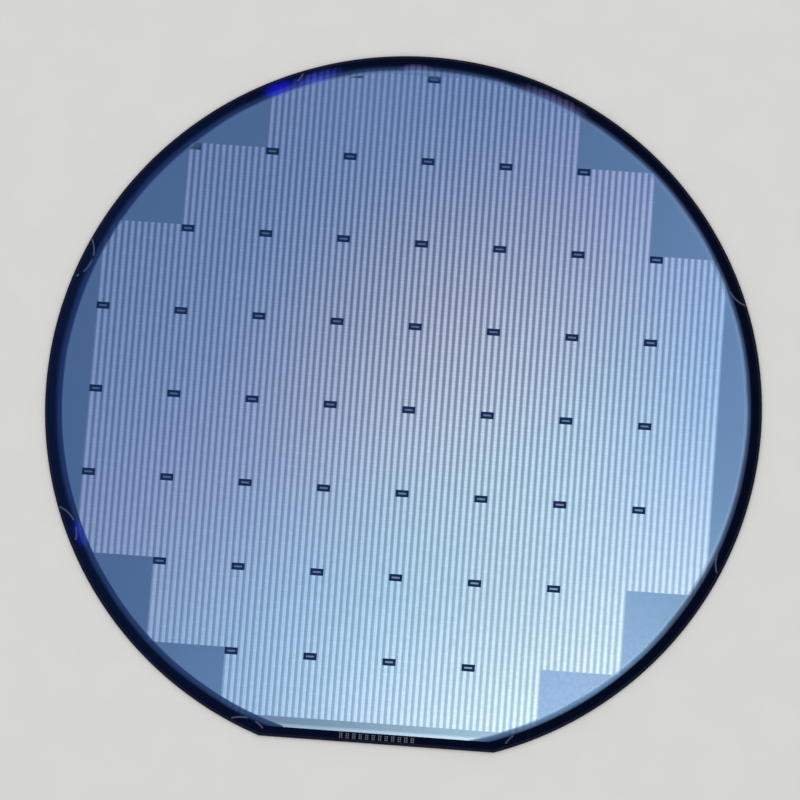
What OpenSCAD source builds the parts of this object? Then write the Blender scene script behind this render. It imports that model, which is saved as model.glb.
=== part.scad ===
// Semiconductor wafer: a round slice of silicon with one flat, ground edges, thin films and printed dies.
// The back face lies on z = 0, the printed side faces +Z and the flat faces -Y, all in millimetres.
// The films are drawn thicker than life, so that their steps can be seen and measured.

/* [Disc] */
// Diameter of the disc
wafer_d = 100; // [90:0.5:120]
// Thickness from the back face to the top of the dies
wafer_t = 0.525; // [0.4:0.005:0.8]
// Length of the flat along the edge
flat_len = 32.5; // [20:0.5:42]

/* [Ground edge] */
// Slope of the bevel on each face, in degrees
bevel_angle = 22; // [15:1:35]
// Radius of the round nose between the two bevels
nose_r = 0.13; // [0.06:0.01:0.16]

/* [Films] */
// Height of each step in the stack of films
film_step = 0.01; // [0.005:0.001:0.02]
// Width of the bare silicon inside the round edge
bare_w = 1.55; // [1.2:0.05:3]
// Width of the lower film's ledge outside the upper film
ledge_w = 0.75; // [0.3:0.05:2]
// Width of the plain rim of the upper film outside the dies
rim_w = 0.15; // [0.05:0.05:1]
// Width of the bare silicon along the flat
flat_bare_w = 1.4; // [1.2:0.05:3]
// Width of the plain strip of film between the flat's bare silicon and the dies
flat_strip_w = 1.43; // [0.3:0.01:3]

/* [Exposure fields] */
// Width of a field
field_w = 10.97; // [8:0.01:14]
// Height of a field
field_h = 11.795; // [8:0.005:14]

/* [Dies] */
// Columns of dies in a field
die_columns = 12; // [8:1:14]
// Rows of dies in a field
die_rows = 24; // [16:1:30]
// Width of the raised circuit block in a column of dies
block_w = 0.48; // [0.3:0.01:0.6]
// Width of the street across the ends of a column
street_w = 0.06; // [0.02:0.01:0.12]

/* [Test keys] */
// Columns of dies that a test key stands in for
key_columns = 2; // [2:1:4]
// Rows of dies that a test key stands in for
key_rows = 2; // [1:1:4]
// Length of the contact bar in a test key
key_bar_l = 1.1; // [0.4:0.05:1.3]
// Width of the contact bar in a test key
key_bar_w = 0.24; // [0.1:0.02:0.44]

/* [Hidden] */
$fn = 180;

wafer_r = wafer_d / 2;
flat_y = -sqrt(pow(wafer_r, 2) - pow(flat_len / 2, 2));

// Heights of the four levels, and the depth to which each film is keyed into the level under it
film_top = wafer_t - film_step;
ledge_top = film_top - film_step;
silicon_top = ledge_top - film_step;
root = film_step / 2;

// Limits of the films and of the dies, around the round edge and along the flat
ledge_r = wafer_r - bare_w;
film_r = ledge_r - ledge_w;
die_r = film_r - rim_w;
film_y = flat_y + flat_bare_w;
die_y = film_y + flat_strip_w;

// Bevels that touch the nose: their reach follows from the slope, the nose and the thickness
half_t = silicon_top / 2;
bevel_w = (half_t * cos(bevel_angle) - nose_r * (1 - sin(bevel_angle))) / sin(bevel_angle);
nose_span = 90 - bevel_angle;
nose_steps = 8;

// Dies and fields: a field corner lies on the disc's centre, so the grid is the same on both sides of it
die_w = field_w / die_columns;
die_h = field_h / die_rows;
key_w = key_columns * die_w;
key_h = key_rows * die_h;
columns_out = ceil(wafer_r / field_w);
rows_out = ceil(wafer_r / field_h);

// A field is printed where its centre lies inside the round limit of the dies
function printed(column, row) = norm([(column + 0.5) * field_w, (row + 0.5) * field_h]) < die_r;

// Printed fields above the centre line in one column of fields, and the half length of its dies
function fields_up(column) = len([for (row = [0 : rows_out - 1]) if (printed(column, row)) row]);
function run_of(column) = fields_up(column) * field_h - street_w / 2;

// A test key fills the upper left corner of its field
function key_corner(column, row) = [column * field_w, (row + 1) * field_h - key_h];

// A key is whole where all its corners lie among the dies
function key_whole(corner) =
    corner.y > die_y
    && max([for (x = [0, key_w], y = [0, key_h]) norm(corner + [x, y])]) < die_r;

function key_corners() = [
    for (column = [-columns_out : columns_out - 1], row = [-rows_out : rows_out - 1])
        if (printed(column, row)) key_corner(column, row)
];

// The ground edge from the back face to the front face, with its tip at x = 0
function edge_points() = concat(
    [[-bevel_w, 0]],
    [
        for (step = [0 : nose_steps])
            let (turn = nose_span * (2 * step / nose_steps - 1))
            [nose_r * (cos(turn) - 1), half_t + nose_r * sin(turn)]
    ],
    [[-bevel_w, silicon_top]]
);

// Half of the disc's section, from the axis to the round edge
module disc_section() {
    edge = [for (p = edge_points()) p + [wafer_r, 0]];
    polygon(concat([[0, 0]], edge, [[0, silicon_top]]));
}

// What the grinding takes off beyond an edge whose tip lies at x = 0
module ground_away() {
    over = wafer_t;
    far = wafer_r;
    polygon(concat(
        [[-bevel_w, -over]],
        edge_points(),
        [[-bevel_w, silicon_top + over], [far, silicon_top + over], [far, -over]]
    ));
}

// The slice of silicon, turned to its round edge and then ground back to the flat
module silicon_disc() {
    difference() {
        rotate_extrude() disc_section();
        translate([0, flat_y, 0])
            rotate([90, 0, -90])
            linear_extrude(wafer_d, center = true)
            ground_away();
    }
}

// The part of a round area of this radius that lies above a line along the flat
module land(radius, low_y) {
    intersection() {
        circle(radius);
        translate([-wafer_d, low_y]) square([2 * wafer_d, 2 * wafer_d]);
    }
}

// One layer of a film, keyed into the level at base_z
module layer(base_z) {
    translate([0, 0, base_z - root]) linear_extrude(film_step + root) children();
}

// Windows of the test keys, cut off where they would leave the dies
module key_windows() {
    intersection() {
        union() {
            for (corner = key_corners()) translate(corner) square([key_w, key_h]);
        }
        land(die_r, die_y);
    }
}

// Long blocks of circuits, one to each column of dies
module circuit_columns() {
    for (column = [-columns_out : columns_out - 1], die = [0 : die_columns - 1]) {
        if (fields_up(column) > 0) {
            run = run_of(column);
            middle = column * field_w + (die + 0.5) * die_w;
            translate([middle - block_w / 2, -run]) square([block_w, 2 * run]);
        }
    }
}

// The lower film covers the disc up to the bare edge
module lower_film() {
    layer(silicon_top) land(ledge_r, film_y);
}

// The upper film is open at the test keys
module upper_film() {
    layer(ledge_top) difference() {
        land(film_r, film_y);
        key_windows();
    }
}

// The circuit blocks stand on the upper film and stop at the test keys
module circuit_blocks() {
    layer(film_top) difference() {
        intersection() {
            union() circuit_columns();
            land(die_r, die_y);
        }
        key_windows();
    }
}

// A contact bar in the middle of each whole test key
module key_bars() {
    bar = [key_bar_l, key_bar_w];
    layer(ledge_top) union() {
        for (corner = key_corners()) {
            if (key_whole(corner)) translate(corner + [key_w, key_h] / 2) square(bar, center = true);
        }
    }
}

module wafer() {
    color([0.02, 0.03, 0.09]) silicon_disc();
    color([0.13, 0.18, 0.33]) lower_film();
    color([0.38, 0.51, 0.69]) upper_film();
    color([0.66, 0.76, 0.90]) circuit_blocks();
    color([0.42, 0.50, 0.63]) key_bars();
}

wafer();
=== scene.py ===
"""Looks of a printed silicon wafer: ground blank, films, dies, test keys and clip marks, in a studio."""

import logging
import math
from collections.abc import Callable, Sequence
from dataclasses import dataclass, replace
from enum import Enum, IntEnum
from typing import Self

import bpy
import numpy as np
from mathutils import Matrix, Vector


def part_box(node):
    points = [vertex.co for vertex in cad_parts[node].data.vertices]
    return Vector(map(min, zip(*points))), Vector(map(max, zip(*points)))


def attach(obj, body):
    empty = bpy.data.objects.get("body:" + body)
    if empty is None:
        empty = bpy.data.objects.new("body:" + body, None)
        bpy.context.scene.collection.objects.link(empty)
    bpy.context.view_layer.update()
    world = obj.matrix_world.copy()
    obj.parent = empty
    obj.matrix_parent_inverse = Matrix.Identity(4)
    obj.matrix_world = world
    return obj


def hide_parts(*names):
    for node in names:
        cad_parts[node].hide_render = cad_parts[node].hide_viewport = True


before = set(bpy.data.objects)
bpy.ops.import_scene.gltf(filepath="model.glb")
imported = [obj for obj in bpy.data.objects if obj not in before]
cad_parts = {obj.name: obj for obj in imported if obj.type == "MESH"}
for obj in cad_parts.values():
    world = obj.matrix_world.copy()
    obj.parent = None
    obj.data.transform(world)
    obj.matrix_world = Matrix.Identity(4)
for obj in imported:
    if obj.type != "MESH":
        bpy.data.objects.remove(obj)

LOG = logging.getLogger("wafer")

NODE = "wafer"
BODY = "root"

# Pieces are modelled in millimetres and scaled to metres when they are finished
MM = 0.001
ROUND_CORNERS = 720
CUT_THRESHOLD = 1e-5
MERGE_DISTANCE = 1e-4

# Limits of a normal's height for a face that looks up, that looks down and that is level
UP = 0.5
DOWN = -0.01
LEVEL = 0.99

# Shares of the bake map: the side that faces up, the gap and the side that faces down
MAP_UP_SHARE = 0.74
MAP_DOWN_START = 0.76
MAP_DOWN_SHARE = 0.23
MAP_NAME = "OFBake"

Piece = bpy.types.Object
Socket = bpy.types.NodeSocket
Tree = bpy.types.NodeTree
Pair = tuple[float, float]
Tint = tuple[float, float, float]


def scaled(tint: Tint, factors: Tint) -> Tint:
    """Multiply a tint by a factor for each of red, green and blue."""
    return tuple(value * factor for value, factor in zip(tint, factors))


def solid(tint: Tint) -> tuple[float, float, float, float]:
    """Add a full alpha to a tint."""
    return (*tint, 1.0)


# Sizes

@dataclass(frozen=True)
class WaferSizes:
    """Sizes of the disc and of the levels on it, in millimetres.

    The disc's own sizes come from the frame. The widths and steps are those of the printed side.
    """

    radius: float
    thickness: float
    flat_y: float
    bevel_angle: float = 22.0
    nose_radius: float = 0.13
    nose_steps: int = 4
    film_step: float = 0.01
    bare_width: float = 1.55
    ledge_width: float = 0.75
    rim_width: float = 0.15
    flat_bare_width: float = 1.4
    flat_strip_width: float = 1.43

    @classmethod
    def from_frame(cls, node: str) -> Self:
        """Read the disc's radius, thickness and flat from a node of the frame.

        Args:
            node: Name of the node.

        Returns:
            The sizes of that disc.
        """
        low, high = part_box(node)
        return cls(
            radius=(high[0] - low[0]) / 2 / MM,
            thickness=(high[2] - low[2]) / MM,
            flat_y=low[1] / MM,
        )

    @property
    def film_top(self) -> float:
        """Height of the upper film."""
        return self.thickness - self.film_step

    @property
    def ledge_top(self) -> float:
        """Height of the lower film."""
        return self.film_top - self.film_step

    @property
    def silicon_top(self) -> float:
        """Height of the bare silicon."""
        return self.ledge_top - self.film_step

    @property
    def root(self) -> float:
        """Depth to which a film is keyed into the level under it."""
        return self.film_step / 2

    @property
    def ledge_radius(self) -> float:
        """Round limit of the lower film."""
        return self.radius - self.bare_width

    @property
    def film_radius(self) -> float:
        """Round limit of the upper film."""
        return self.ledge_radius - self.ledge_width

    @property
    def die_radius(self) -> float:
        """Round limit of the dies."""
        return self.film_radius - self.rim_width

    @property
    def film_y(self) -> float:
        """Limit of the films along the flat."""
        return self.flat_y + self.flat_bare_width

    @property
    def die_y(self) -> float:
        """Limit of the dies along the flat."""
        return self.film_y + self.flat_strip_width

    def edge_profile(self) -> list[Pair]:
        """Work out the upper half of the ground edge, from the tip of its nose to the polished face.

        Returns:
            Points as distance inwards from the tip and height above the middle of the disc.
        """
        slope = math.radians(self.bevel_angle)
        half = self.silicon_top / 2
        nose_span = math.pi / 2 - slope
        points = []
        for step in range(self.nose_steps + 1):
            turn = nose_span * step / self.nose_steps
            points.append((self.nose_radius * (1 - math.cos(turn)), self.nose_radius * math.sin(turn)))
        bevel_width = (half * math.cos(slope) - self.nose_radius * (1 - math.sin(slope))) / math.sin(slope)
        points.append((bevel_width, half))
        return points


class Zone(IntEnum):
    """Zones of the upper film, numbered as its finishes are."""

    PLAIN = 0
    RIM = 1
    STRIP = 2
    STREET = 3
    KEY = 4


@dataclass(frozen=True)
class FieldGrid:
    """Grid of exposure fields with a corner on the disc's centre, in millimetres."""

    sizes: WaferSizes
    field_width: float = 10.97
    field_height: float = 11.795
    die_columns: int = 12
    die_rows: int = 24
    key_columns: int = 2
    key_rows: int = 2

    @property
    def die_width(self) -> float:
        """Pitch of the dies across a field."""
        return self.field_width / self.die_columns

    @property
    def die_height(self) -> float:
        """Pitch of the dies up a field."""
        return self.field_height / self.die_rows

    @property
    def key_width(self) -> float:
        """Width of a test key."""
        return self.key_columns * self.die_width

    @property
    def key_height(self) -> float:
        """Height of a test key."""
        return self.key_rows * self.die_height

    @property
    def columns_out(self) -> int:
        """Columns of fields on each side of the centre that the disc can hold."""
        return math.ceil(self.sizes.radius / self.field_width)

    @property
    def rows_out(self) -> int:
        """Rows of fields on each side of the centre that the disc can hold."""
        return math.ceil(self.sizes.radius / self.field_height)

    def printed(self, column: int, row: int) -> bool:
        """Tell whether a field's centre lies inside the round limit of the dies."""
        centre = Vector(((column + 0.5) * self.field_width, (row + 0.5) * self.field_height))
        return centre.length < self.sizes.die_radius

    def corners(self) -> list[Vector]:
        """List the lower left corner of each printed field.

        Returns:
            Corners on z = 0, row by row.
        """
        return [
            Vector((column * self.field_width, row * self.field_height, 0))
            for row in range(-self.rows_out, self.rows_out)
            for column in range(-self.columns_out, self.columns_out)
            if self.printed(column, row)
        ]

    def key_corner(self, corner: Vector) -> Vector:
        """Give the lower left corner of the test key in the field at a corner."""
        return corner + Vector((0, self.field_height - self.key_height, 0))

    def inside(self, corner: Vector, width: float, height: float) -> bool:
        """Tell whether a rectangle lies wholly among the dies.

        Args:
            corner: Its lower left corner.
            width: Its width.
            height: Its height.

        Returns:
            Whether none of it passes the limits of the dies.
        """
        others = [corner + Vector((x, y, 0)) for x in (0, width) for y in (0, height)]
        farthest = max(other.to_2d().length for other in others)
        return corner.y > self.sizes.die_y and farthest < self.sizes.die_radius

    def zone(self, x: float, y: float) -> Zone:
        """Name the zone of the upper film at a point.

        Args:
            x: Distance along the flat from the disc's centre.
            y: Distance from the centre away from the flat.

        Returns:
            The zone there.
        """
        if math.hypot(x, y) > self.sizes.die_radius:
            return Zone.RIM
        if y < self.sizes.die_y:
            return Zone.STRIP
        column = math.floor(x / self.field_width)
        row = math.floor(y / self.field_height)
        if not self.printed(column, row):
            return Zone.PLAIN
        across = x - column * self.field_width
        up = y - row * self.field_height
        is_key = across < self.key_width and up > self.field_height - self.key_height
        return Zone.KEY if is_key else Zone.STREET


# Modelling

class Keep(Enum):
    """What a cut through a mesh leaves."""

    BOTH = "both sides"
    FRONT = "the side that the plane faces"


class Trim(Enum):
    """What a trim by another workpiece leaves, as the boolean modifier calls it."""

    INSIDE = "INTERSECT"
    OUTSIDE = "DIFFERENCE"


def looks_up(centre: Vector, normal: Vector) -> bool:
    """Tell whether a face looks up."""
    return normal.z > UP


class Workpiece:
    """A mesh under work, in millimetres, shaped by operators as by hand."""

    def __init__(self, thing: Piece) -> None:
        """Take up the object that holds the mesh."""
        self.thing = thing

    @staticmethod
    def rest() -> None:
        """Leave edit mode and select nothing."""
        if bpy.context.object is not None and bpy.context.object.mode != "OBJECT":
            bpy.ops.object.mode_set(mode="OBJECT")
        bpy.ops.object.select_all(action="DESELECT")

    @classmethod
    def disc(cls, radius: float, height: float = 0.0, corners: int = ROUND_CORNERS) -> Self:
        """Add a flat round face that looks up.

        Args:
            radius: Its radius.
            height: Its height.
            corners: Number of its corners.

        Returns:
            The new workpiece.
        """
        cls.rest()
        bpy.ops.mesh.primitive_circle_add(
            vertices=corners, radius=radius, fill_type="NGON", location=(0, 0, height)
        )
        return cls(bpy.context.object).settle()

    @classmethod
    def block(cls, size: Sequence[float], centre: Sequence[float]) -> Self:
        """Add a block.

        Args:
            size: Its width, depth and height.
            centre: Its centre.

        Returns:
            The new workpiece.
        """
        cls.rest()
        bpy.ops.mesh.primitive_cube_add(size=1, location=centre)
        bpy.context.object.scale = size
        return cls(bpy.context.object).settle()

    @classmethod
    def slab(cls, radius: float, low_y: float, base: float, height: float) -> Self:
        """Model a closed round slab that ends in a line along the flat.

        Args:
            radius: Its round limit.
            low_y: Its limit along the flat.
            base: Height of its underside.
            height: Its thickness.

        Returns:
            The new workpiece.
        """
        face = cls.disc(radius, base).cut((0, low_y, 0), (0, 1, 0), Keep.FRONT)
        return face.pick().lift(height)

    @staticmethod
    def gather(parts: Sequence["Workpiece"]) -> "Workpiece":
        """Join workpieces into the first of them.

        Args:
            parts: The workpieces.

        Returns:
            The first, with the others in it.
        """
        parts[0].take()
        for part in parts[1:]:
            part.thing.select_set(True)
        bpy.ops.object.join()
        return parts[0]

    def take(self) -> None:
        """Make this the only selected object and the active one."""
        self.rest()
        self.thing.select_set(True)
        bpy.context.view_layer.objects.active = self.thing

    def settle(self) -> Self:
        """Put the object's place, turn and scale into its mesh.

        Returns:
            This workpiece.
        """
        self.take()
        bpy.ops.object.transform_apply(location=True, rotation=True, scale=True)
        return self

    def leave(self) -> Self:
        """Leave edit mode."""
        bpy.ops.object.mode_set(mode="OBJECT")
        return self

    def pick(self, wanted: Callable[[Vector, Vector], bool] = lambda centre, normal: True) -> Self:
        """Go into edit mode with faces selected by their place.

        Args:
            wanted: Says of a face's centre and normal whether it is selected, and selects all by default.

        Returns:
            This workpiece.
        """
        self.take()
        bpy.ops.object.mode_set(mode="EDIT")
        bpy.ops.mesh.select_mode(type="FACE")
        bpy.ops.mesh.select_all(action="DESELECT")
        bpy.ops.object.mode_set(mode="OBJECT")
        for face in self.thing.data.polygons:
            face.select = wanted(face.center, face.normal)
        bpy.ops.object.mode_set(mode="EDIT")
        return self

    def cut(self, point: Sequence[float], normal: Sequence[float], keep: Keep = Keep.BOTH) -> Self:
        """Cut the whole mesh along a plane.

        Args:
            point: A point on the plane.
            normal: The way that the plane faces.
            keep: What is left.

        Returns:
            This workpiece.
        """
        self.pick()
        bpy.ops.mesh.bisect(
            plane_co=point, plane_no=normal, clear_inner=keep is Keep.FRONT, threshold=CUT_THRESHOLD
        )
        return self.leave()

    def lift(self, height: float) -> Self:
        """Extrude the selected faces upwards, or downwards by a negative height."""
        bpy.ops.mesh.extrude_region_move(TRANSFORM_OT_translate={"value": (0, 0, height)})
        return self.leave()

    def inset(self, width: float, depth: float = 0.0) -> None:
        """Inset the selected faces, and raise what is left of them by a depth."""
        bpy.ops.mesh.inset(thickness=width, depth=depth, use_boundary=True, use_even_offset=True)

    def resize(self, factors: Sequence[float], centre: Sequence[float]) -> Self:
        """Scale the selected faces along each axis about a point that stays."""
        bpy.ops.transform.resize(value=factors, center_override=centre)
        return self.leave()

    def erase(self) -> Self:
        """Delete the selected faces with their corners."""
        bpy.ops.mesh.delete(type="VERT")
        return self.leave()

    def spin(self, angle: float, steps: int) -> Self:
        """Sweep the selected faces about the vertical axis through the origin.

        Args:
            angle: The turn in radians.
            steps: Number of steps.

        Returns:
            This workpiece.
        """
        bpy.ops.mesh.spin(steps=steps, angle=angle, center=(0, 0, 0), axis=(0, 0, 1))
        bpy.ops.mesh.select_all(action="SELECT")
        bpy.ops.mesh.remove_doubles(threshold=MERGE_DISTANCE)
        bpy.ops.mesh.normals_make_consistent(inside=False)
        return self.leave()

    def modify(self, kind: str, **settings: object) -> Self:
        """Add a modifier and apply it.

        Args:
            kind: Its type.
            settings: Its properties.

        Returns:
            This workpiece.
        """
        self.take()
        modifier = self.thing.modifiers.new(kind.lower(), kind)
        for name, value in settings.items():
            setattr(modifier, name, value)
        bpy.ops.object.modifier_apply(modifier=modifier.name)
        return self

    def mirror_down(self) -> Self:
        """Add the mirror image below z = 0 and close the seam."""
        return self.modify("MIRROR", use_axis=(False, False, True), merge_threshold=MERGE_DISTANCE)

    def repeat(self, count: int, step: Sequence[float]) -> Self:
        """Repeat the mesh in a row of this many, with this step from one to the next."""
        offset = {"use_relative_offset": False, "use_constant_offset": True, "constant_offset_displace": step}
        return self.modify("ARRAY", count=count, **offset)

    def trim(self, tool: "Workpiece", left: Trim = Trim.INSIDE) -> Self:
        """Leave only what lies inside another closed workpiece, or outside it."""
        return self.modify("BOOLEAN", object=tool.thing, operation=left.value, solver="EXACT")

    def move(self, way: Sequence[float], turn: float = 0.0) -> Self:
        """Turn the mesh about the vertical axis and move it.

        Args:
            way: The move.
            turn: The turn in radians, made first.

        Returns:
            This workpiece.
        """
        self.thing.rotation_euler = (0, 0, turn)
        self.thing.location = way
        return self.settle()

    def copy(self, way: Sequence[float]) -> "Workpiece":
        """Make a copy with its own mesh and move it.

        Args:
            way: The move.

        Returns:
            The copy.
        """
        self.take()
        bpy.ops.object.duplicate(linked=False)
        return Workpiece(bpy.context.object).move(way)

    def scrap(self) -> None:
        """Delete the workpiece."""
        self.take()
        bpy.ops.object.delete()

    def sort(self, slot_of: Callable[[Vector, Vector], int]) -> Self:
        """Give each face the number of its finish.

        Args:
            slot_of: Gives the number for a face's centre and normal.

        Returns:
            This workpiece.
        """
        for face in self.thing.data.polygons:
            face.material_index = int(slot_of(face.center, face.normal))
        return self

    def finish(self, name: str, finishes: Sequence[bpy.types.Material], radius: float) -> Piece:
        """Name the piece, dress it, map it from above and put it on its body in metres.

        Args:
            name: The piece's name.
            finishes: Its materials, in the order of its faces' numbers.
            radius: Radius of the disc that the map covers.

        Returns:
            The finished piece.
        """
        piece = self.thing
        piece.name = name
        piece.data.name = name
        for finish in finishes:
            piece.data.materials.append(finish)
        self.map_from_above(radius)
        piece.scale = (MM, MM, MM)
        self.settle()
        self.rest()
        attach(piece, BODY)
        return piece

    def map_from_above(self, radius: float) -> None:
        """Map the mesh as seen from above, with the faces that look down beside it.

        Args:
            radius: Radius of the disc that the map covers.
        """
        mesh = self.thing.data
        places = np.empty(len(mesh.vertices) * 3)
        mesh.vertices.foreach_get("co", places)
        corners = np.empty(len(mesh.loops), dtype=np.int32)
        mesh.loops.foreach_get("vertex_index", corners)
        normals = np.empty(len(mesh.polygons) * 3)
        mesh.polygons.foreach_get("normal", normals)
        counts = np.empty(len(mesh.polygons), dtype=np.int32)
        mesh.polygons.foreach_get("loop_total", counts)
        share = places.reshape(-1, 3)[corners, :2] / (2 * radius) + 0.5
        looks_down = np.repeat(normals.reshape(-1, 3)[:, 2] < DOWN, counts)[:, None]
        spots = np.where(looks_down, MAP_DOWN_START + share * MAP_DOWN_SHARE, share * MAP_UP_SHARE)
        layer = mesh.uv_layers.get(MAP_NAME) or mesh.uv_layers.new(name=MAP_NAME)
        layer.data.foreach_set("uv", spots.astype(np.float32).ravel())


# Shared surface effects

# Scale and detail of the noise in each effect
DRIFT_NOISE = (28.0, 2.0)
RING_NOISE = (140.0, 3.0)
TINT_NOISE = (160.0, 3.0)
PATCH_NOISE = (900.0, 2.0)
GRAIN_DETAIL = 3.0

# Where the noise in a tint starts and stops to count
TINT_LIMITS = (0.3, 0.7)

# Height of the grain, and width of the fade at a ring's low limit
GRAIN_HEIGHT = 0.02 * MM
LOW_FADE = 0.5 * MM

# Raggedness of a patch and where it fades, as shares of its reach, and where its streaks fade in a column
PATCH_RAGGEDNESS = 0.5
PATCH_FADE = (0.5, 1.25)
STREAK_FADE = (0.2, 0.42)

# Sockets of a group that hold a vector, and vector operations that give a value
VECTOR_NAMES = {"Place", "Way", "Centre", "Turn", "Span", "Normal"}
VALUE_OPERATIONS = {"LENGTH", "DOT_PRODUCT"}

# Inputs of a mapped range in order, and two ranges that masks go through
RANGE_NAMES = ("Value", "From Min", "From Max", "To Min", "To Max")
RISE = (0.0, 1.0)
FALL = (1.0, 0.0)

# Numbers of the colour mix's sockets: the factor, the two colours and the result
MIX_INPUTS = (0, 6, 7)
MIX_RESULT = 2


class Mix(Enum):
    """How one colour is laid over another, as the colour mix calls it."""

    COVER = "MIX"
    TIMES = "MULTIPLY"
    PLUS = "ADD"


class Wiring:
    """Adds and links the nodes of one tree."""

    def __init__(self, tree: Tree) -> None:
        """Take up the node tree of a material or a group."""
        self.tree = tree

    def add(self, kind: str, inputs: dict | None = None, **settings: object) -> bpy.types.Node:
        """Add a node.

        Args:
            kind: Its type.
            inputs: Sockets to link or values to set, by the input's name or number.
            settings: Its other properties.

        Returns:
            The node.
        """
        node = self.tree.nodes.new(kind)
        for name, value in settings.items():
            setattr(node, name, value)
        for key, value in (inputs or {}).items():
            if isinstance(value, Socket):
                self.tree.links.new(value, node.inputs[key])
            else:
                node.inputs[key].default_value = value
        return node

    def sum_up(self, operation: str, first: object, second: object = 0.0, clamp: bool = False) -> Socket:
        """Add a Math node and give its output."""
        inputs = {0: first, 1: second}
        return self.add("ShaderNodeMath", inputs, operation=operation, use_clamp=clamp).outputs[0]

    def vector(self, operation: str, first: object, second: object = (0, 0, 0)) -> Socket:
        """Add a Vector Math node and give its output, which is a value for a length or a dot product."""
        node = self.add("ShaderNodeVectorMath", {0: first, 1: second}, operation=operation)
        return node.outputs["Value" if operation in VALUE_OPERATIONS else "Vector"]

    def axis(self, place: Socket, number: int) -> Socket:
        """Give one coordinate of a place."""
        return self.add("ShaderNodeSeparateXYZ", {0: place}).outputs[number]

    def cloud(self, place: Socket, scale: object, detail: float) -> Socket:
        """Add a Noise Texture node and give its value."""
        inputs = {"Vector": place, "Scale": scale, "Detail": detail}
        return self.add("ShaderNodeTexNoise", inputs).outputs[0]

    def swing(self, chance: object, amount: object) -> Socket:
        """Turn a value around 0.5 into a swing around nothing."""
        return self.sum_up("MULTIPLY", self.sum_up("SUBTRACT", chance, 0.5), amount)

    def away(self, place: Socket, centre: Pair) -> Socket:
        """Measure a place from a centre given in millimetres."""
        return self.vector("SUBTRACT", place, (centre[0] * MM, centre[1] * MM, 0))

    def off_column(self, place: Socket, pitch: object) -> Socket:
        """Measure how far a place lies from the middle of its column of dies, as a share of the pitch."""
        share = self.sum_up("FRACT", self.sum_up("DIVIDE", self.axis(place, 0), pitch))
        return self.sum_up("ABSOLUTE", self.sum_up("SUBTRACT", share, 0.5))

    def blend(self, factor: object, first: object, second: object, mix: Mix = Mix.COVER) -> Socket:
        """Add a colour Mix node and give its output."""
        inputs = dict(zip(MIX_INPUTS, (factor, first, second)))
        return self.add("ShaderNodeMix", inputs, data_type="RGBA", blend_type=mix.value).outputs[MIX_RESULT]

    def spread(self, value: object, source: Sequence[object], target: Sequence[object]) -> Socket:
        """Add a smooth Map Range node from one pair of values to another and give its output."""
        inputs = dict(zip(RANGE_NAMES, (value, *source, *target)))
        return self.add("ShaderNodeMapRange", inputs, interpolation_type="SMOOTHSTEP").outputs[0]

    def brighten(self, colour: object, value: Socket) -> Socket:
        """Scale a colour's brightness."""
        return self.add("ShaderNodeHueSaturation", {"Value": value, "Color": colour}).outputs[0]


class Effect(Wiring):
    """The wiring of a shader group."""

    def __init__(self, name: str, inputs: Sequence[str], outputs: Sequence[str] = ("Mask",)) -> None:
        """Start a group.

        Args:
            name: The group's name.
            inputs: Names of its inputs.
            outputs: Names of its outputs.
        """
        super().__init__(bpy.data.node_groups.new(name, "ShaderNodeTree"))
        for way, names in (("INPUT", inputs), ("OUTPUT", outputs)):
            for socket in names:
                kind = "NodeSocketVector" if socket in VECTOR_NAMES else "NodeSocketFloat"
                self.tree.interface.new_socket(socket, in_out=way, socket_type=kind)
        entry = self.add("NodeGroupInput")
        self.given = [entry.outputs[socket] for socket in inputs]
        self.exit = self.add("NodeGroupOutput")

    def put(self, value: Socket, name: str = "Mask") -> Tree:
        """Put a value out under a name and give the group."""
        self.tree.links.new(value, self.exit.inputs[name])
        return self.tree


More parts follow.
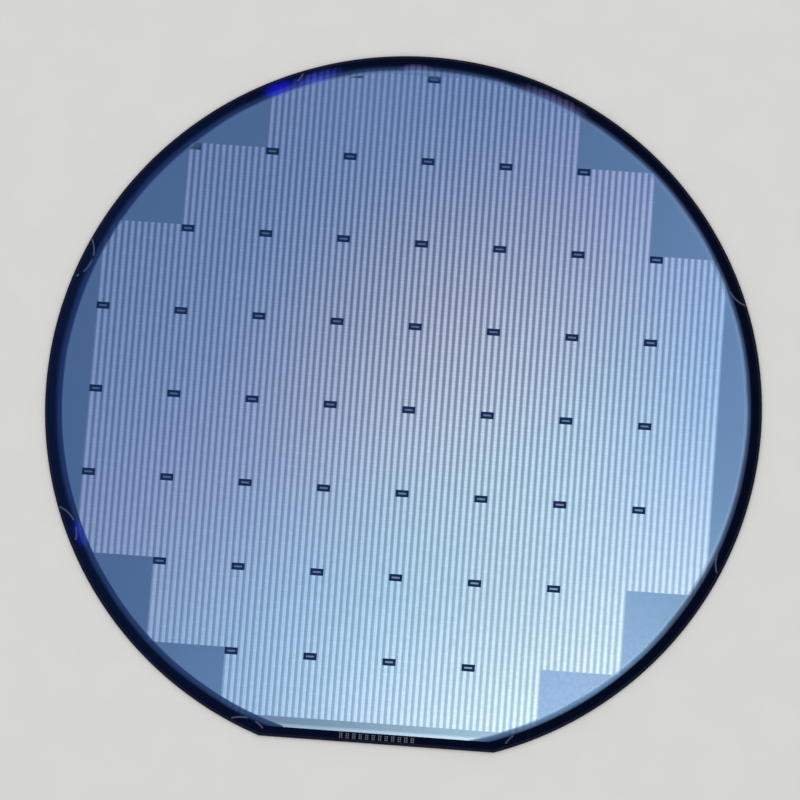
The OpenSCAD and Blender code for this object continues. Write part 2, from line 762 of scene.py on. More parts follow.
class SurfaceEffects:
    """Shader groups that several finishes share, each built once."""

    def __init__(self) -> None:
        """Build all groups."""
        self.drift = self.build_drift_and_highlight()
        self.fringe = self.build_fringe()
        self.die_shade = self.build_die_shade()
        self.ring_fade = self.build_ring_fade()
        self.clip_bloom = self.build_clip_bloom()
        self.grain = self.build_grain()

    @staticmethod
    def build_drift_and_highlight() -> Tree:
        """Build the slow drift across the disc, partly a change of film thickness and partly painted light
        from the lights' gradient over the disc.

        Returns:
            A group that puts out a mask that grows from 0 to 1 the given way.
        """
        wires = Effect("film_drift_and_highlight", ("Place", "Way", "Reach", "Unevenness"))
        place, way, reach, unevenness = wires.given
        along = wires.vector("DOT_PRODUCT", place, way)
        mask = wires.spread(along, (wires.sum_up("MULTIPLY", reach, -1.0), reach), RISE)
        swing = wires.swing(wires.cloud(place, *DRIFT_NOISE), unevenness)
        return wires.put(wires.sum_up("ADD", mask, swing, clamp=True))

    @staticmethod
    def build_fringe() -> Tree:
        """Build the straight bands of interference that follow the film's thickness.

        Returns:
            A group that puts out a mask of 1 on each crest and 0 half a period away from it.
        """
        wires = Effect("film_fringe", ("Place", "Way", "Crest", "Period"))
        place, way, crest, period = wires.given
        past = wires.sum_up("SUBTRACT", wires.vector("DOT_PRODUCT", place, way), crest)
        turn = wires.sum_up("MULTIPLY", wires.sum_up("DIVIDE", past, period), math.tau)
        half = wires.sum_up("MULTIPLY", wires.sum_up("COSINE", turn), 0.5)
        return wires.put(wires.sum_up("ADD", half, 0.5))

    @staticmethod
    def build_die_shade() -> Tree:
        """Build the small change of tone from die to die.

        Returns:
            A group that puts out a brightness near 1 for each die.
        """
        wires = Effect("die_shade", ("Place", "Width", "Height", "Change"), ("Brightness",))
        place, width, height, change = wires.given
        column = wires.sum_up("FLOOR", wires.sum_up("DIVIDE", wires.axis(place, 0), width))
        row = wires.sum_up("FLOOR", wires.sum_up("DIVIDE", wires.axis(place, 1), height))
        cell = wires.add("ShaderNodeCombineXYZ", {0: column, 1: row}).outputs[0]
        chance = wires.add("ShaderNodeTexWhiteNoise", {"Vector": cell}, noise_dimensions="2D").outputs[0]
        return wires.put(wires.sum_up("ADD", wires.swing(chance, change), 1.0), "Brightness")

    @staticmethod
    def build_ring_fade() -> Tree:
        """Build a fade from the disc's inside to its rim.

        Returns:
            A group that puts out a mask from 0 at the inner radius to 1 at the outer one, both uneven, and 1
            below a low limit.
        """
        wires = Effect("ring_fade", ("Place", "Inner", "Outer", "Wobble", "Low"))
        place, inner, outer, wobble, low = wires.given
        far = wires.vector("LENGTH", wires.vector("MULTIPLY", place, (1, 1, 0)))
        radius = wires.sum_up("ADD", far, wires.swing(wires.cloud(place, *RING_NOISE), wobble))
        ring = wires.spread(radius, (inner, outer), RISE)
        band = wires.spread(wires.axis(place, 1), (low, wires.sum_up("ADD", low, LOW_FADE)), FALL)
        return wires.put(wires.sum_up("MAXIMUM", ring, band))

    @staticmethod
    def build_clip_bloom() -> Tree:
        """Build the soft patch that a clip leaves in the films at the rim.

        Returns:
            A group that puts out a mask of 1 in the patch and 0 away from it, streaked along the dies'
            columns.
        """
        wires = Effect("clip_bloom", ("Place", "Centre", "Turn", "Span", "Pitch", "Streaks"))
        place, centre, turn, span, pitch, streaks = wires.given
        inputs = {"Vector": wires.vector("SUBTRACT", place, centre), "Rotation": turn}
        turned = wires.add("ShaderNodeVectorRotate", inputs, rotation_type="EULER_XYZ").outputs[0]
        far = wires.vector("LENGTH", wires.vector("DIVIDE", turned, span))
        rag = wires.sum_up("MULTIPLY", wires.cloud(place, *PATCH_NOISE), PATCH_RAGGEDNESS)
        mask = wires.spread(wires.sum_up("ADD", far, rag), PATCH_FADE, FALL)
        dim = wires.sum_up("SUBTRACT", 1.0, streaks)
        streak = wires.spread(wires.off_column(place, pitch), STREAK_FADE, (1.0, dim))
        return wires.put(wires.sum_up("MULTIPLY", mask, streak))

    @staticmethod
    def build_grain() -> Tree:
        """Build fine grain in tone, gloss and relief.

        Returns:
            A group that puts out a value around a middle and a bumped normal.
        """
        names = ("Place", "Fineness", "Middle", "Change", "Relief")
        wires = Effect("surface_grain", names, ("Value", "Normal"))
        place, fineness, middle, change, relief = wires.given
        cloud = wires.cloud(place, fineness, GRAIN_DETAIL)
        inputs = {"Strength": relief, "Distance": GRAIN_HEIGHT, "Height": cloud}
        wires.put(wires.add("ShaderNodeBump", inputs).outputs[0], "Normal")
        return wires.put(wires.sum_up("ADD", wires.swing(cloud, change), middle), "Value")


# Finishes

# Reflectance of red, green and blue light
FILM_TINT: Tint = (0.067, 0.139, 0.335)
DIE_TINT: Tint = (0.1435, 0.229, 0.473)

# A low limit that the disc doesn't reach
FAR_BELOW = -1000.0


@dataclass(frozen=True)
class Canvas:
    """What a colour is painted with: a material's wiring, its object coordinates and the shared groups."""

    wires: Wiring
    place: Socket
    effects: SurfaceEffects

    def effect(self, tree: Tree, inputs: dict, output: str = "Mask") -> Socket:
        """Place a shared group, on these coordinates if it is given no others, and give an output of it."""
        inputs = {"Place": self.place, **inputs}
        return self.wires.add("ShaderNodeGroup", inputs, node_tree=tree).outputs[output]


class Overlay:
    """A tint that is laid over a finish's colour; lengths in millimetres and angles in degrees."""

    tint: Tint
    mix = Mix.COVER

    def mask(self, canvas: Canvas) -> Socket:
        """Build the mask through which the tint is laid on."""
        raise NotImplementedError

    def over(self, colour: Socket, canvas: Canvas) -> Socket:
        """Lay the tint over a colour."""
        return canvas.wires.blend(self.mask(canvas), colour, solid(self.tint), self.mix)


@dataclass(frozen=True)
class RingFade(Overlay):
    """A change to another tint across a radius, and below a low limit."""

    radius: float
    fade: Pair
    tint: Tint
    centre: Pair = (0.0, 0.0)
    low: float = FAR_BELOW
    wobble: float = 0.4

    def mask(self, canvas: Canvas) -> Socket:
        """Build a mask that rises from the fade's start to its end, both measured from the radius.

        Args:
            canvas: What it is painted with.

        Returns:
            The mask.
        """
        start, end = (self.radius + width for width in self.fade)
        lengths = {"Inner": start, "Outer": end, "Wobble": self.wobble, "Low": self.low}
        inputs = {name: length * MM for name, length in lengths.items()}
        inputs["Place"] = canvas.wires.away(canvas.place, self.centre)
        return canvas.effect(canvas.effects.ring_fade, inputs)


@dataclass(frozen=True)
class Bloom(Overlay):
    """A wide soft round change of tint, given as factors."""

    centre: Pair
    radius: float
    tint: Tint
    mix = Mix.TIMES

    def mask(self, canvas: Canvas) -> Socket:
        """Build a mask that falls from the centre to the radius."""
        ring = RingFade(self.radius, (-self.radius, 0.0), self.tint, self.centre, wobble=0.0)
        return canvas.wires.sum_up("SUBTRACT", 1.0, ring.mask(canvas))


@dataclass(frozen=True)
class Fringe(Overlay):
    """Straight bands of tint, given as factors on the crests and between them."""

    way: Pair
    crest: float
    period: float
    tint: Tint
    low_tint: Tint

    def mask(self, canvas: Canvas) -> Socket:
        """Build the bands."""
        inputs = {"Way": (*self.way, 0), "Crest": self.crest * MM, "Period": self.period * MM}
        return canvas.effect(canvas.effects.fringe, inputs)

    def over(self, colour: Socket, canvas: Canvas) -> Socket:
        """Multiply a colour by the factors of the bands."""
        factors = canvas.wires.blend(self.mask(canvas), solid(self.low_tint), solid(self.tint))
        return canvas.wires.blend(1.0, colour, factors, Mix.TIMES)


@dataclass(frozen=True)
class LineFade(Overlay):
    """A change to another tint towards a line along the flat."""

    line: float
    fade: Pair
    tint: Tint

    def mask(self, canvas: Canvas) -> Socket:
        """Build a mask that rises from the fade's start to its end, both measured from the line."""
        start, end = ((self.line + width) * MM for width in self.fade)
        return canvas.wires.spread(canvas.wires.axis(canvas.place, 1), (end, start), FALL)


@dataclass(frozen=True)
class ClipPatch(Overlay):
    """A soft patch at the rim, where a clip lay."""

    angle: float
    radius: float
    half_length: float
    half_width: float
    tint: Tint
    streaks: float = 0.55
    pitch: float = 1.0
    mix = Mix.PLUS

    def mask(self, canvas: Canvas) -> Socket:
        """Build the patch, turned to its place on the rim.

        Args:
            canvas: What it is painted with.

        Returns:
            The mask.
        """
        turn = math.radians(self.angle)
        inputs = {
            "Centre": (self.radius * MM * math.cos(turn), self.radius * MM * math.sin(turn), 0),
            "Turn": (0, 0, -turn),
            "Span": (self.half_width * MM, self.half_length * MM, 1),
            "Pitch": self.pitch * MM,
            "Streaks": self.streaks,
        }
        return canvas.effect(canvas.effects.clip_bloom, inputs)


@dataclass(frozen=True)
class DieShade(Overlay):
    """A small change of tone from die to die, and darker streets between their columns."""

    width: float
    height: float
    change: float = 0.06
    street_dark: float = 1.0
    street_start: float = 0.27

    def over(self, colour: Socket, canvas: Canvas) -> Socket:
        """Shade a colour die by die and along the streets.

        Args:
            colour: The colour under it.
            canvas: What it is painted with.

        Returns:
            The new colour.
        """
        wires = canvas.wires
        inputs = {"Width": self.width * MM, "Height": self.height * MM, "Change": self.change}
        tone = canvas.effect(canvas.effects.die_shade, inputs, "Brightness")
        offset = wires.off_column(canvas.place, self.width * MM)
        street = wires.spread(offset, (self.street_start, 0.5), (1.0, self.street_dark))
        return wires.brighten(colour, wires.sum_up("MULTIPLY", tone, street))


CLIP_PATCHES = (
    ClipPatch(115.5, radius=48.6, half_length=2.9, half_width=1.4, tint=(0.004, 0.002, 0.4), streaks=0),
    ClipPatch(108.6, radius=48.45, half_length=4.6, half_width=1.2, tint=(0.022, 0.036, 0.31)),
    ClipPatch(112.0, radius=47.9, half_length=6.5, half_width=1.4, tint=(0.014, 0.008, 0.13)),
    ClipPatch(92.0, radius=48.15, half_length=2.8, half_width=0.8, tint=(0.065, 0.065, 0.14)),
    ClipPatch(68.0, radius=48.35, half_length=6.2, half_width=1.1, tint=(0.057, 0.062, 0.17)),
    ClipPatch(-154.0, radius=48.2, half_length=2.6, half_width=1.2, tint=(0.004, 0.004, 0.2), streaks=0),
)

# Lilac on the crests and greenish between them
DIE_FRINGE = Fringe(
    way=(0.609, -0.793), crest=-7.6, period=52.0, tint=(1.055, 0.985, 0.993), low_tint=(0.945, 1.015, 1.007)
)


@dataclass(frozen=True)
class Finish:
    """A plain finish: a tint with a slight cloudiness, its gloss and its grain."""

    name: str
    tint: Tint
    roughness: float
    roughness_change: float
    grain_fineness: float
    grain_relief: float
    metallic: float
    specular: float
    cloudiness: float = 0.1

    def colour(self, canvas: Canvas) -> Socket:
        """Build the colour over the surface.

        Args:
            canvas: What it is painted with.

        Returns:
            The colour.
        """
        cloud = canvas.wires.cloud(canvas.place, *TINT_NOISE)
        value = canvas.wires.spread(cloud, TINT_LIMITS, (1 - self.cloudiness, 1 + self.cloudiness))
        return canvas.wires.brighten(solid(self.tint), value)

    def make(self, effects: SurfaceEffects) -> bpy.types.Material:
        """Build the material.

        Args:
            effects: The shared groups.

        Returns:
            The material.
        """
        material = bpy.data.materials.new(self.name)
        material.use_nodes = True
        wires = Wiring(material.node_tree)
        shader = material.node_tree.nodes["Principled BSDF"]
        shader.inputs["Metallic"].default_value = self.metallic
        shader.inputs["Specular IOR Level"].default_value = self.specular
        place = wires.add("ShaderNodeTexCoord").outputs["Object"]
        inputs = {
            "Place": place,
            "Fineness": self.grain_fineness,
            "Middle": self.roughness,
            "Change": self.roughness_change,
            "Relief": self.grain_relief,
        }
        grain = wires.add("ShaderNodeGroup", inputs, node_tree=effects.grain)
        wires.tree.links.new(grain.outputs["Value"], shader.inputs["Roughness"])
        wires.tree.links.new(grain.outputs["Normal"], shader.inputs["Normal"])
        colour = self.colour(Canvas(wires, place, effects))
        wires.tree.links.new(colour, shader.inputs["Base Color"])
        return material


@dataclass(frozen=True)
class FilmFinish(Finish):
    """Thin film over silicon: its tint drifts across the disc, partly with the film's thickness and partly as
    painted light from the lights' gradient.
    """

    # The far end's factors hold painted light as well as the film's own change of tint
    far_factors: Tint = (1.0, 1.0, 1.0)
    drift_way: Pair = (0.71, -0.71)
    drift_reach: float = 48.0
    unevenness: float = 0.3
    overlays: tuple[Overlay, ...] = ()

    def colour(self, canvas: Canvas) -> Socket:
        """Build the colour: the drift from one tint to the other, then the overlays.

        Args:
            canvas: What it is painted with.

        Returns:
            The colour.
        """
        inputs = {"Way": (*self.drift_way, 0), "Reach": self.drift_reach * MM, "Unevenness": self.unevenness}
        drift = canvas.effect(canvas.effects.drift, inputs)
        far = scaled(self.tint, self.far_factors)
        colour = canvas.wires.blend(drift, solid(self.tint), solid(far))
        for overlay in self.overlays:
            colour = overlay.over(colour, canvas)
        return colour


class Finishes:
    """All finishes of the wafer and the floor, made once and held by their names."""

    @staticmethod
    def die_blooms(lilac: Tint, green: Tint) -> tuple[Overlay, ...]:
        """Give the fringe on the dies and two blooms, lilac above the centre and greenish near the flat."""
        above = Bloom(centre=(9.1, 8.5), radius=40.8, tint=lilac)
        return DIE_FRINGE, above, Bloom(centre=(19.7, -31.3), radius=34.7, tint=green)

    def __init__(self, sizes: WaferSizes, grid: FieldGrid) -> None:
        """Make the materials.

        Args:
            sizes: The disc's sizes, for the limits of the films.
            grid: The field grid, for the pitch of the dies.
        """
        metal = {"metallic": 1.0, "specular": 0.5}
        dull = {"metallic": 0.0, "specular": 0.04}
        film_grain = {"roughness_change": 0.04, "grain_fineness": 2500.0, "grain_relief": 0.01}
        coarse_grain = {"roughness_change": 0.2, "grain_fineness": 9000.0, "grain_relief": 0.4}
        # The drift ways and far factors below are partly painted light: part of the lights' gradient across
        # the disc is laid into the tints
        film = {"roughness": 0.231, **film_grain, **metal}
        rim = {**film, "far_factors": (1.4, 1.0, 0.75), "drift_way": (1.0, 0.2)}
        dies = {"roughness": 0.244, **film_grain, **metal, "drift_way": (0.37, -0.93)}
        patches = tuple(replace(patch, pitch=grid.die_width) for patch in CLIP_PATCHES)
        shade = DieShade(grid.die_width, grid.die_height)
        # Painted highlight: the rim films are made lighter where the main panel's reflection falls
        painted_highlight = Bloom(centre=(30.9, -36.8), radius=18.0, tint=(1.65, 1.85, 1.8))
        film_tint = scaled(FILM_TINT, (1.3, 1.2, 1.1))
        film_end = RingFade(sizes.film_radius, fade=(0.32, -0.22), tint=film_tint, centre=(0.2, 0.18))
        # ledge_end fades to the near black of the bare ring, a painted dark reflection; on the films the fade
        # is also their thinning edge
        ledge_end = RingFade(
            sizes.ledge_radius, fade=(-0.4, 0.32), tint=(0.0016, 0.0034, 0.015), centre=(0.04, 0.12)
        )
        key_end = RingFade(sizes.die_radius, fade=(-1.2, -0.3), tint=(0.05, 0.085, 0.2))
        rim_overlays = (painted_highlight, film_end, ledge_end, *patches)
        rim_tint = scaled(FILM_TINT, (0.21, 0.26, 0.41))
        finishes = (
            # Painted dark reflection: bare polished silicon is tinted near black as if it mirrored dark
            # surroundings, lighter towards the left through the bloom
            FilmFinish(
                "bare_silicon_dark_reflection", scaled(FILM_TINT, (0.1, 0.11, 0.16)), roughness=0.5, **film_grain, **metal,
                overlays=(
                    replace(ledge_end, low=sizes.film_y),
                    Bloom(centre=(-50.0, 5.0), radius=90.0, tint=(2.4, 2.7, 2.8)),
                    *patches,
                ),
            ),
            Finish("ground_edge", (0.009, 0.011, 0.026), roughness=0.5, **coarse_grain, **dull),
            Finish(
                "lapped_back", (0.2, 0.21, 0.24), roughness=0.55, **coarse_grain, **metal, cloudiness=0.04
            ),
            FilmFinish("lower_film", rim_tint, **rim, overlays=rim_overlays),
            FilmFinish("film_rim", rim_tint, **rim, overlays=rim_overlays),
            FilmFinish(
                "rim_trace", scaled(FILM_TINT, (0.28, 0.34, 0.5)), **rim,
                overlays=(painted_highlight, replace(film_end, tint=DIE_TINT), ledge_end, *patches),
            ),
            FilmFinish(
                "upper_film", scaled(FILM_TINT, (0.94, 0.93, 0.98)), **film,
                far_factors=(1.22, 1.21, 1.06), drift_way=(0.0, 1.0),
                overlays=(
                    Bloom(centre=(30.0, -42.0), radius=26.0, tint=(1.17, 1.01, 1.01)),
                    Bloom(centre=(-26.0, -40.0), radius=12.0, tint=(1.1, 1.15, 1.12)),
                ),
            ),
            FilmFinish(
                "flat_strip", scaled(FILM_TINT, (1.26, 1.07, 0.92)), **film,
                overlays=(
                    LineFade(sizes.film_y, fade=(0.65, 0.2), tint=scaled(FILM_TINT, (2.2, 1.75, 1.4))),
                ),
            ),
            FilmFinish(
                "street_film", scaled(DIE_TINT, (0.685, 0.728, 0.844)), **dies,
                far_factors=(1.489, 1.551, 1.349),
                overlays=(
                    *self.die_blooms((1.197, 1.021, 0.826), (0.812, 0.806, 0.705)),
                    Bloom(centre=(-8.0, 44.0), radius=17.0, tint=(1.17, 1.21, 1.2)),
                    replace(shade, street_dark=0.8),
                ),
            ),
            FilmFinish(
                "die_core", scaled(DIE_TINT, (1.433, 1.297, 1.243)), **dies,
                far_factors=(1.079, 1.195, 1.176),
                overlays=(*self.die_blooms((1.571, 1.365, 1.128), (0.835, 0.828, 0.832)), shade),
            ),
            FilmFinish(
                "die_flank", scaled(DIE_TINT, (0.96, 0.923, 0.964)), **dies,
                far_factors=(1.287, 1.382, 1.285),
                overlays=(*self.die_blooms((1.426, 1.226, 0.992), (0.846, 0.837, 0.76)), shade),
            ),
            FilmFinish(
                "key_floor", (0.0047, 0.0258, 0.099), roughness=0.4, **film_grain, **dull,
                overlays=(key_end,),
            ),
            FilmFinish("key_bar", (0.072, 0.115, 0.272), **film, overlays=(key_end,)),
            Finish("clip_mark", (0.062, 0.082, 0.155), roughness=0.6, **coarse_grain, **dull),
            Finish("scribe_dot", (0.16, 0.17, 0.2), roughness=0.6, **coarse_grain, **dull),
            Finish(
                "studio_floor", (0.82, 0.83, 0.85), roughness=0.7, roughness_change=0.1,
                grain_fineness=40.0, grain_relief=0.05, metallic=0.0, specular=0.3, cloudiness=0.012,
            ),
        )
        effects = SurfaceEffects()
        self.made = {finish.name: finish.make(effects) for finish in finishes}


# Sub-assemblies

@dataclass
class Assembly:
    """What each sub-assembly of the wafer is built from."""

    sizes: WaferSizes
    grid: FieldGrid
    finishes: Finishes

    def build(self) -> list[Piece]:
        """Model the pieces, dress them and list them."""
        raise NotImplementedError

    def dress(self, work: Workpiece, name: str, *finishes: str) -> Piece:
        """Finish a workpiece under a name, in the finishes of these names."""
        return work.finish(name, [self.finishes.made[finish] for finish in finishes], self.sizes.radius)


@dataclass
class SiliconBlank(Assembly):
    """The slice of silicon with its flat and its ground edge."""

    smooth_angle: float = 20.0

    def build(self) -> list[Piece]:
        """Model the upper half from the middle outline by insets, mirror it and dress it.

        Returns:
            The finished piece, which stands for the CAD solid, in a list.
        """
        sizes = self.sizes
        blank = Workpiece.disc(sizes.radius).cut((0, sizes.flat_y, 0), (0, 1, 0), Keep.FRONT).pick()
        profile = sizes.edge_profile()
        for (inner, low), (outer, high) in zip(profile, profile[1:]):
            blank.inset(outer - inner, high - low)
        blank.mirror_down().move((0, 0, sizes.silicon_top / 2))
        blank.sort(lambda centre, normal: 0 if normal.z > LEVEL else 2 if normal.z < -LEVEL else 1)
        piece = self.dress(blank, "silicon_blank", "bare_silicon_dark_reflection", "ground_edge", "lapped_back")
        blank.take()
        bpy.ops.object.shade_smooth_by_angle(angle=math.radians(self.smooth_angle))
        blank.rest()
        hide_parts(NODE)
        return [piece]


@dataclass
class FilmLayers(Assembly):
    """The lower film with its ledge, and the upper film with its rim, strip, streets and key pockets."""

    pocket_share: float = 0.8

    def build(self) -> list[Piece]:
        """Build both films."""
        lower = self.plate(self.sizes.ledge_radius, self.sizes.silicon_top)
        return [self.dress(lower, "lower_film", "lower_film"), self.build_upper()]

    def plate(self, radius: float, base: float) -> Workpiece:
        """Model a film with a round limit on the level at a height."""
        sizes = self.sizes
        return Workpiece.slab(radius, sizes.film_y, base - sizes.root, sizes.film_step + sizes.root)

    def on_top(self, centre: Vector, normal: Vector) -> bool:
        """Tell whether a face is part of the upper film's top."""
        return looks_up(centre, normal) and centre.z > self.sizes.ledge_top

    def is_key(self, centre: Vector, normal: Vector) -> bool:
        """Tell whether a face is the window of a test key."""
        return self.on_top(centre, normal) and self.grid.zone(centre.x, centre.y) is Zone.KEY

    def zone_of(self, centre: Vector, normal: Vector) -> Zone:
        """Name the zone whose finish a face has.

        Args:
            centre: The face's centre.
            normal: Its normal.

        Returns:
            The zone: for a wall among the dies it is the key's, whose pocket it bounds.
        """
        if looks_up(centre, normal):
            return self.grid.zone(centre.x, centre.y)
        is_wall = abs(normal.z) < UP and math.hypot(*centre.xy) < self.sizes.die_radius
        return Zone.KEY if is_wall else Zone.PLAIN

    def build_upper(self) -> Piece:
        """Model the upper film, part it along the fields, sink the key pockets and dress it zone by zone.

        Returns:
            The finished piece.
        """
        sizes = self.sizes
        grid = self.grid
        film = self.plate(sizes.film_radius, sizes.ledge_top).pick(self.on_top)
        film.inset(sizes.rim_width)
        for column in range(-grid.columns_out, grid.columns_out):
            left = column * grid.field_width
            for x in (left, left + grid.key_width):
                film.cut((x, 0, 0), (1, 0, 0))
        for row in range(-grid.rows_out, grid.rows_out):
            top = (row + 1) * grid.field_height
            for y in (top, top - grid.key_height):
                film.cut((0, y, 0), (0, 1, 0))
        film.cut((0, sizes.die_y, 0), (0, 1, 0))
        film.pick(self.is_key).lift(-sizes.film_step * self.pocket_share).sort(self.zone_of)
        zones = ("upper_film", "film_rim", "flat_strip", "street_film", "key_floor")
        return self.dress(film, "upper_film", *zones)


class Half(Enum):
    """The two halves of the print, parted at the disc's centre."""

    LEFT = "left"
    RIGHT = "right"

    def holds(self, corner: Vector) -> bool:
        """Tell whether the field at a corner lies in this half."""
        return (corner.x < -MERGE_DISTANCE) is (self is Half.LEFT)


@dataclass
class CircuitArray(Assembly):
    """The dies: raised blocks in columns and rows, field by field, cut off at the film's rim."""

    block_width: float = 0.54
    crown_width: float = 0.36
    crown_share: float = 0.2
    crown_top_share: float = 0.25
    street_width: float = 0.02
    trace_share: float = 0.4
    trace_gap_share: float = 0.2

    def build(self) -> list[Piece]:
        """Build the dies of both halves and the traces."""
        return [*map(self.build_half, Half), self.build_traces()]

    @property
    def crown(self) -> float:
        """Height of a die's crown."""
        return self.sizes.film_step * self.crown_share

    def die(self) -> Workpiece:
        """Model one die as a block with a low crown, at the lower left corner of a field.

        Returns:
            The die.
        """
        sizes = self.sizes
        grid = self.grid
        height = sizes.film_step - self.crown + sizes.root
        middle = (grid.die_width / 2, grid.die_height / 2)
        size = (self.block_width, grid.die_height - self.street_width, height)
        die = Workpiece.block(size, (*middle, sizes.film_top - sizes.root + height / 2))
        taper = (self.crown_width / self.block_width, 1, 1)
        return die.pick(looks_up).lift(self.crown).pick(looks_up).resize(taper, (*middle, sizes.thickness))

    def field(self) -> Workpiece:
        """Repeat the die over one field and clear the place of its test key.

        Returns:
            The dies of a whole field.
        """
        grid = self.grid
        dies = self.die()
        dies.repeat(grid.die_columns, (grid.die_width, 0, 0)).repeat(grid.die_rows, (0, grid.die_height, 0))
        key = grid.key_corner(Vector())
        return dies.pick(lambda centre, normal: centre.x < grid.key_width and centre.y > key.y).erase()

    def land(self, radius: float) -> Workpiece:
        """Model a slab that is higher than the dies and ends as they do, for cutting the outer fields."""
        return Workpiece.slab(radius, self.sizes.die_y, 0.0, 2 * self.sizes.thickness)

    def is_whole(self, corner: Vector) -> bool:
        """Tell whether the field at a corner lies wholly among the dies."""
        return self.grid.inside(corner, self.grid.field_width, self.grid.field_height)

    def build_half(self, half: Half) -> Piece:
        """Copy the field to each printed place of one half, cut the outer ones and dress the dies.

        Args:
            half: The half to build.

        Returns:
            The finished piece.
        """
        field = self.field()
        land = self.land(self.sizes.die_radius)
        copies = []
        for corner in filter(half.holds, self.grid.corners()):
            dies = field.copy(corner)
            copies.append(dies if self.is_whole(corner) else dies.trim(land))
        land.scrap()
        field.scrap()
        top = self.sizes.thickness - self.crown * self.crown_top_share
        dies = Workpiece.gather(copies)
        dies.sort(lambda centre, normal: 0 if looks_up(centre, normal) and centre.z > top else 1)
        return self.dress(dies, f"circuit_blocks_{half.value}", "die_core", "die_flank")

    def build_traces(self) -> Piece:
        """Model the traces in which the outer columns of dies run out over the film's rim and its ledge.

        Returns:
            The finished piece.
        """
        sizes = self.sizes
        grid = self.grid
        height = sizes.film_top - sizes.silicon_top + sizes.film_step * self.trace_share
        size = (self.block_width, grid.field_height - self.street_width, height)
        centre = (grid.die_width / 2, grid.field_height / 2, sizes.silicon_top + height / 2)
        columns = Workpiece.block(size, centre).repeat(grid.die_columns, (grid.die_width, 0, 0))
        ring = self.land(sizes.ledge_radius - sizes.ledge_width * self.trace_gap_share)
        hole = self.land(sizes.die_radius)
        up = Vector((0, grid.field_height, 0))
        copies = []
        for corner in grid.corners():
            if not self.is_whole(corner):
                copies.append(columns.copy(corner).trim(ring).trim(hole, Trim.OUTSIDE))
            # Above a top row that ends inside the upper film the columns run on
            top = corner + up + Vector((grid.field_width / 2, 0, 0))
            if top.length < sizes.film_radius < top.y + grid.field_height:
                copies.append(columns.copy(corner + up).trim(ring))
        for tool in (ring, hole, columns):
            tool.scrap()
        return self.dress(Workpiece.gather(copies), "rim_traces", "rim_trace")


@dataclass
class TestKeys(Assembly):
    """The contact bars in the pockets of the whole test keys."""

    bar_length: float = 1.1
    bar_width: float = 0.24
    plinth_share: float = 0.75
    pad_count: int = 4
    pad_gap: float = 0.06
    pad_taper: float = 0.8

    def build(self) -> list[Piece]:
        """Model one bar with its row of pads, copy it to each whole key and dress the bars.

        Returns:
            The finished piece, in a list.
        """
        sizes = self.sizes
        grid = self.grid
        base = sizes.ledge_top - sizes.root
        plinth_top = sizes.ledge_top + sizes.film_step * self.plinth_share
        x, y = grid.key_width / 2, grid.key_height / 2
        size = (self.bar_length, self.bar_width, plinth_top - base)
        bar = Workpiece.block(size, (x, y, (base + plinth_top) / 2))
        pitch = self.bar_length / self.pad_count
        first = x - self.bar_length / 2 + pitch / 2
        pad_size = (pitch - self.pad_gap, self.bar_width - self.pad_gap, sizes.film_top - base)
        pads = Workpiece.block(pad_size, (first, y, (base + sizes.film_top) / 2))
        pads.pick(looks_up).resize((self.pad_taper, self.pad_taper, 1), (first, y, sizes.film_top))
        bar = Workpiece.gather([bar, pads.repeat(self.pad_count, (pitch, 0, 0))])
        corners = [grid.key_corner(corner) for corner in grid.corners()]
        whole = [corner for corner in corners if grid.inside(corner, grid.key_width, grid.key_height)]
        copies = [bar.copy(corner) for corner in whole]
        bar.scrap()
        return [self.dress(Workpiece.gather(copies), "key_bars", "key_bar")]


@dataclass
class ClipMarks(Assembly):
    """Faint strokes that the fingers of a clamp left across the rim, evenly spaced round the disc.

    Each finger's strokes are turns in degrees about the middle of its round tip.
    """

    first_angle: float = 24.0
    finger_radius: float = 4.0
    tip_inset: float = 1.6
    width: float = 0.22
    start_share: float = 0.1
    height_share: float = 1.25
    end_limit: float = 0.9
    steps: int = 12
    fingers: tuple[tuple[Pair, ...], ...] = (
        ((-48, -6),),
        (),
        ((-43, -24),),
        ((-51, -14), (-4, 25), (36, 42)),
        ((-48, -7), (8, 34)),
        ((-42, -10), (8, 27)),
        ((-37, -15),),
        ((-42, -5),),
    )

    def mark(self, stroke: Pair, angle: float) -> Workpiece:
        """Sweep one stroke about the middle of its finger and set it on the rim.

        Args:
            stroke: Where it starts and ends.
            angle: Where the finger lay, in degrees round the disc.

        Returns:
            The mark.
        """
        sizes = self.sizes
        height = sizes.film_step * self.height_share + sizes.root
        end, start = (math.radians(-turn) for turn in stroke)
        place = (-self.finger_radius, 0, sizes.silicon_top - sizes.root + height / 2)
        mark = Workpiece.block((self.width, self.width * self.start_share, height), place)
        facing = Vector((-math.sin(end), math.cos(end), 0))
        mark.move((0, 0, 0), end).pick(lambda centre, normal: normal.dot(facing) > self.end_limit)
        mark.spin(end - start, self.steps)
        turn = math.radians(angle)
        out = sizes.radius - self.tip_inset + self.finger_radius
        return mark.move((out * math.cos(turn), out * math.sin(turn), 0), turn)

    def build(self) -> list[Piece]:
        """Model all marks and dress them.

        Returns:
            The finished piece, in a list.
        """
        pitch = 360 / len(self.fingers)
        marks = [
            self.mark(stroke, self.first_angle + pitch * place)
            for place, strokes in enumerate(self.fingers)
            for stroke in strokes
        ]
        return [self.dress(Workpiece.gather(marks), "clip_marks", "clip_mark")]


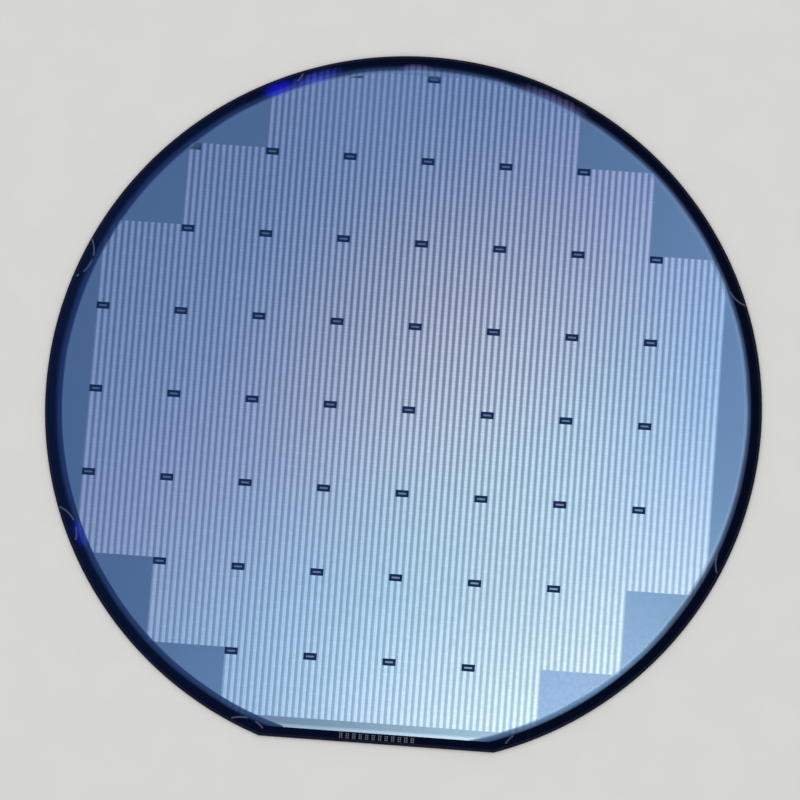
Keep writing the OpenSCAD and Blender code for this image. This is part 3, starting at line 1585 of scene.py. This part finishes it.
@dataclass
class ScribeDots(Assembly):
    """A plain row of even groups of laser dots in the bare band along the flat."""

    groups: int = 12
    columns: int = 2
    rows: int = 3
    group_pitch: float = 0.9
    dot_pitch: float = 0.27
    dot_radius: float = 0.1
    step_share: float = 0.25
    rim_share: float = 1 / 3
    band_share: float = 0.6
    corners: int = 10

    def build(self) -> list[Piece]:
        """Model one dot with a bevelled rim, repeat it and dress the dots.

        Returns:
            The finished piece, in a list.
        """
        sizes = self.sizes
        step = sizes.film_step * self.step_share
        middle = sizes.flat_y + sizes.flat_bare_width * self.band_share
        dot = Workpiece.disc(self.dot_radius, sizes.silicon_top - sizes.root, self.corners)
        dot.pick().lift(sizes.root + step).pick(looks_up).inset(self.dot_radius * self.rim_share, step)
        row = self.group_pitch * (self.groups - 1) + self.dot_pitch * (self.columns - 1)
        dot.move((-row / 2, middle - self.dot_pitch * (self.rows - 1) / 2, 0))
        dot.repeat(self.columns, (self.dot_pitch, 0, 0)).repeat(self.rows, (0, self.dot_pitch, 0))
        dot.repeat(self.groups, (self.group_pitch, 0, 0))
        return [self.dress(dot, "scribe_dots", "scribe_dot")]


# Studio

@dataclass(frozen=True)
class Panel:
    """A soft square light that faces the disc's centre, in millimetres and watts."""

    name: str
    place: tuple[float, float, float]
    size: float
    watts: float
    colour: Tint

    def hang(self) -> Piece:
        """Add the light to the scene.

        Returns:
            The light.
        """
        light = bpy.data.lights.new(self.name, "AREA")
        light.shape = "SQUARE"
        light.size = self.size * MM
        light.energy = self.watts
        light.color = self.colour
        panel = bpy.data.objects.new(self.name, light)
        panel.location = Vector(self.place) * MM
        panel.rotation_euler = (-panel.location).to_track_quat("-Z", "Y").to_euler()
        bpy.context.scene.collection.objects.link(panel)
        return panel


@dataclass
class Studio:
    """The floor, the lights and the camera, in millimetres."""

    finishes: Finishes
    floor_size: float = 6000.0
    floor_gap: float = 0.02
    sky: Tint = (1.0, 1.0, 1.0)
    sky_strength: float = 0.75
    panels: tuple[Panel, ...] = (
        Panel("main_panel", (20.3, 30.1, 900.0), 81.2, 0.448, (1.0, 0.809, 0.403)),
        Panel("side_panel", (131.8, 206.9, 900.0), 80.1, 0.148, (1.0, 0.861, 0.626)),
    )
    camera_place: tuple[float, float, float] = (35.35, -108.15, 685.42)
    camera_target: tuple[float, float, float] = (-0.4, 0.82, 0.525)
    camera_roll: float = -4.473
    lens: float = 224.28
    sensor: float = 36.0

    def build_floor(self) -> Piece:
        """Lay the floor just under the disc.

        Returns:
            The floor.
        """
        Workpiece.rest()
        bpy.ops.mesh.primitive_plane_add(size=self.floor_size * MM, location=(0, 0, -self.floor_gap * MM))
        floor = Workpiece(bpy.context.object).settle().thing
        floor.name = "studio_floor"
        floor.data.materials.append(self.finishes.made["studio_floor"])
        return floor

    def build_lights(self) -> Piece:
        """Set the pale sky and hang the panels.

        Returns:
            The main panel.
        """
        scene = bpy.context.scene
        scene.view_settings.view_transform = "Standard"
        world = bpy.data.worlds.new("studio_sky")
        world.use_nodes = True
        background = world.node_tree.nodes["Background"]
        background.inputs["Color"].default_value = solid(self.sky)
        background.inputs["Strength"].default_value = self.sky_strength
        scene.world = world
        return [panel.hang() for panel in self.panels][0]

    def build_camera(self) -> Piece:
        """Set the camera at the photograph's viewing angle.

        Returns:
            The camera.
        """
        lens = bpy.data.cameras.new("camera")
        lens.lens = self.lens
        lens.sensor_width = self.sensor
        lens.clip_start = MM
        camera = bpy.data.objects.new("camera", lens)
        place = Vector(self.camera_place) * MM
        ahead = (Vector(self.camera_target) * MM - place).normalized()
        side = ahead.cross(Vector((0, 1, 0))).normalized()
        upright = Matrix((side, side.cross(ahead), -ahead)).transposed()
        rolled = upright @ Matrix.Rotation(math.radians(-self.camera_roll), 3, "Z")
        camera.matrix_world = Matrix.Translation(place) @ rolled.to_4x4()
        bpy.context.scene.collection.objects.link(camera)
        bpy.context.scene.camera = camera
        return camera


def main() -> None:
    """Build the wafer's pieces in order, dress the studio and note the sizes."""
    logging.basicConfig(level=logging.INFO, format="%(name)s: %(message)s")
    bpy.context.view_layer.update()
    sizes = WaferSizes.from_frame(NODE)
    grid = FieldGrid(sizes)
    finishes = Finishes(sizes, grid)
    for assembly in (SiliconBlank, FilmLayers, CircuitArray, TestKeys, ClipMarks, ScribeDots):
        for piece in assembly(sizes, grid, finishes).build():
            triangles = sum(len(face.vertices) - 2 for face in piece.data.polygons)
            LOG.info("%s has %d triangles", piece.name, triangles)
    studio = Studio(finishes)
    for build in (studio.build_floor, studio.build_lights, studio.build_camera):
        LOG.info("%s is in place", build().name)


if __name__ == "__main__":
    main()
